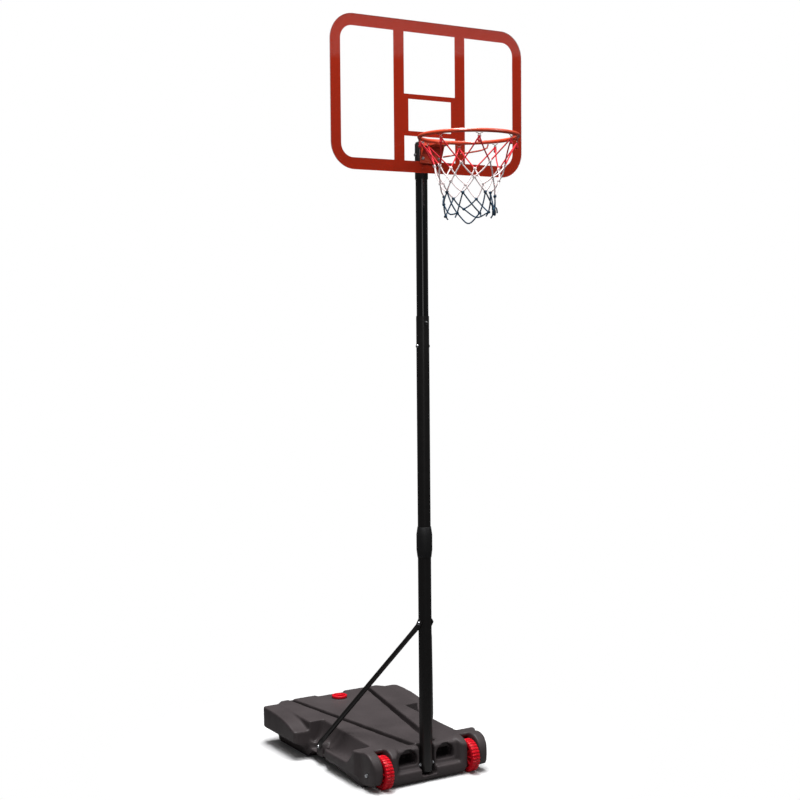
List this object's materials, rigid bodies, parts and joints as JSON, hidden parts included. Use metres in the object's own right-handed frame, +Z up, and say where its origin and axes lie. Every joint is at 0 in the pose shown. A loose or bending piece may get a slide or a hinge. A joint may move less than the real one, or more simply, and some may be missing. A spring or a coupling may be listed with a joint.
{
  "type": "portable basketball hoop",
  "caption": "Portable basketball hoop: clear printed backboard, rim and net on a telescopic pole, braced on a wheeled, water-filled base.",
  "frame": {"origin": "middle of the base tank's flat underside, on the floor", "axes": "+Z up along the pole, +X to the right of someone who stands behind the pole and looks at the board's back, -Y towards the player"},
  "size_m": [1.06, 1.635, 3.614],
  "materials": {
    "tank_plastic": "satin",
    "red_plastic": "satin",
    "black_rubber": "matte",
    "zinc_steel": "satin",
    "black_paint": "satin",
    "gloss_black_paint": "gloss",
    "black_plastic": "satin",
    "clear_sheet": "clear",
    "print_film": "gloss",
    "rim_paint": "gloss",
    "dark_wire": "satin",
    "net_cord": "matte"
  },
  "bodies": {
    "base": {"base_tank": "tank_plastic", "wheel_axle": "zinc_steel", "axle_cap_left": "zinc_steel", "axle_cap_right": "zinc_steel", "axle_collar_left": "zinc_steel", "axle_collar_right": "zinc_steel", "lower_pole": "black_paint", "pole_foot_plug": "black_plastic", "middle_pole": "black_paint", "pole_collar": "black_plastic", "side_screw_left": "zinc_steel", "side_screw_right": "zinc_steel", "strut_left": "black_paint", "strut_right": "black_paint", "strut_pin": "zinc_steel", "strut_pin_nut": "zinc_steel", "strut_foot_bolt_left": "zinc_steel", "strut_foot_bolt_right": "zinc_steel"},
    "wheel_left": {"wheel_left": "red_plastic"},
    "wheel_right": {"wheel_right": "red_plastic"},
    "cap_gasket": {"cap_gasket": "black_rubber"},
    "filler_cap": {"filler_cap": "red_plastic"},
    "clamp_washer": {"clamp_washer": "zinc_steel"},
    "clamp_screw": {"clamp_screw": "black_plastic"},
    "head": {"backboard_panel": "clear_sheet", "backboard_print": "print_film", "board_bolt_high_left": "zinc_steel", "board_bolt_high_right": "zinc_steel", "board_bolt_low_left": "zinc_steel", "board_bolt_low_right": "zinc_steel", "board_nut_high_left": "zinc_steel", "board_nut_high_right": "zinc_steel", "board_nut_low_left": "zinc_steel", "board_nut_low_right": "zinc_steel", "bracket_bolt": "zinc_steel", "bracket_nut": "zinc_steel", "head_bracket": "black_paint", "net": "net_cord", "net_hook_01": "dark_wire", "net_hook_02": "dark_wire", "net_hook_03": "dark_wire", "net_hook_04": "dark_wire", "net_hook_05": "dark_wire", "net_hook_06": "dark_wire", "net_hook_07": "dark_wire", "net_hook_08": "dark_wire", "pole_top_cap": "black_plastic", "rim_brace_left": "rim_paint", "rim_brace_right": "rim_paint", "rim_bracket": "rim_paint", "rim_ring": "rim_paint", "top_pole": "gloss_black_paint"}
  },
  "joints": [
    {"name": "wheel_left_spin", "type": "hinge", "parent": "base", "child": "wheel_left", "pos_m": [-0.246, -0.5, 0.08], "axis": [1, 0, 0], "continuous": true},
    {"name": "wheel_right_spin", "type": "hinge", "parent": "base", "child": "wheel_right", "pos_m": [0.246, -0.5, 0.08], "axis": [1, 0, 0], "continuous": true},
    {"name": "height_slide", "type": "slide", "parent": "base", "child": "head", "axis": [0, 0, 1], "range_m": [-0.6, 0]},
    {"name": "gasket_lift", "type": "slide", "parent": "base", "child": "cap_gasket", "axis": [0, 0, 1], "range_m": [0, 0.0102]},
    {"name": "filler_cap_turn", "type": "hinge", "parent": "cap_gasket", "child": "filler_cap", "pos_m": [0, 0.365, 0.209], "axis": [0, 0, 1], "range_deg": [0, 720]},
    {"name": "clamp_screw_travel", "type": "slide", "parent": "base", "child": "clamp_washer", "axis": [0, -1, 0], "range_m": [0, 0.0045]},
    {"name": "clamp_screw_turn", "type": "hinge", "parent": "clamp_washer", "child": "clamp_screw", "pos_m": [0, -0.533, 2.217], "axis": [0, -1, 0], "range_deg": [0, 1081]}
  ],
  "couplings": [
    {"joint": "gasket_lift", "follows": "filler_cap_turn", "m_per_rad": 0.00079577},
    {"joint": "clamp_screw_turn", "follows": "clamp_screw_travel", "rad_per_m": 4188.8}
  ]
}
